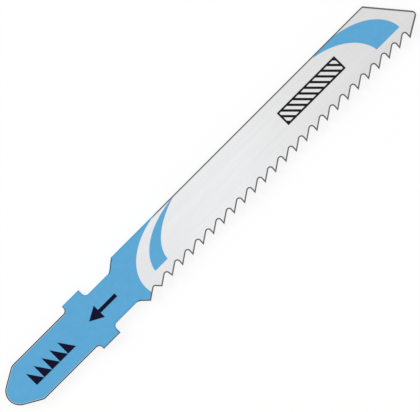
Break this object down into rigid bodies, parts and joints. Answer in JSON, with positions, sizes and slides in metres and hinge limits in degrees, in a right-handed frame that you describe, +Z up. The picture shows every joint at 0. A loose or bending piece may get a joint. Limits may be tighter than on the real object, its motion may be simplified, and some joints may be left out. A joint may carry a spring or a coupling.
{
  "type": "jigsaw blade",
  "caption": "Flat T-shank jigsaw blade for metal, with a lugged shank, milled teeth pressed into a wave, and a slanted nose.",
  "frame": {"origin": "middle of the lugs on the blade's centreline, on the lower flat face", "axes": "+X along the blade, from the shank to the nose; +Y to the smooth back edge, away from the teeth; +Z up, out of the printed face"},
  "size_m": [0.0769, 0.0082, 0.0014],
  "materials": {
    "satin_steel": "satin ground steel, with a sky-blue lacquered shank and printed fields"
  },
  "bodies": {
    "root": {"blade": "satin_steel"}
  },
  "joints": []
}
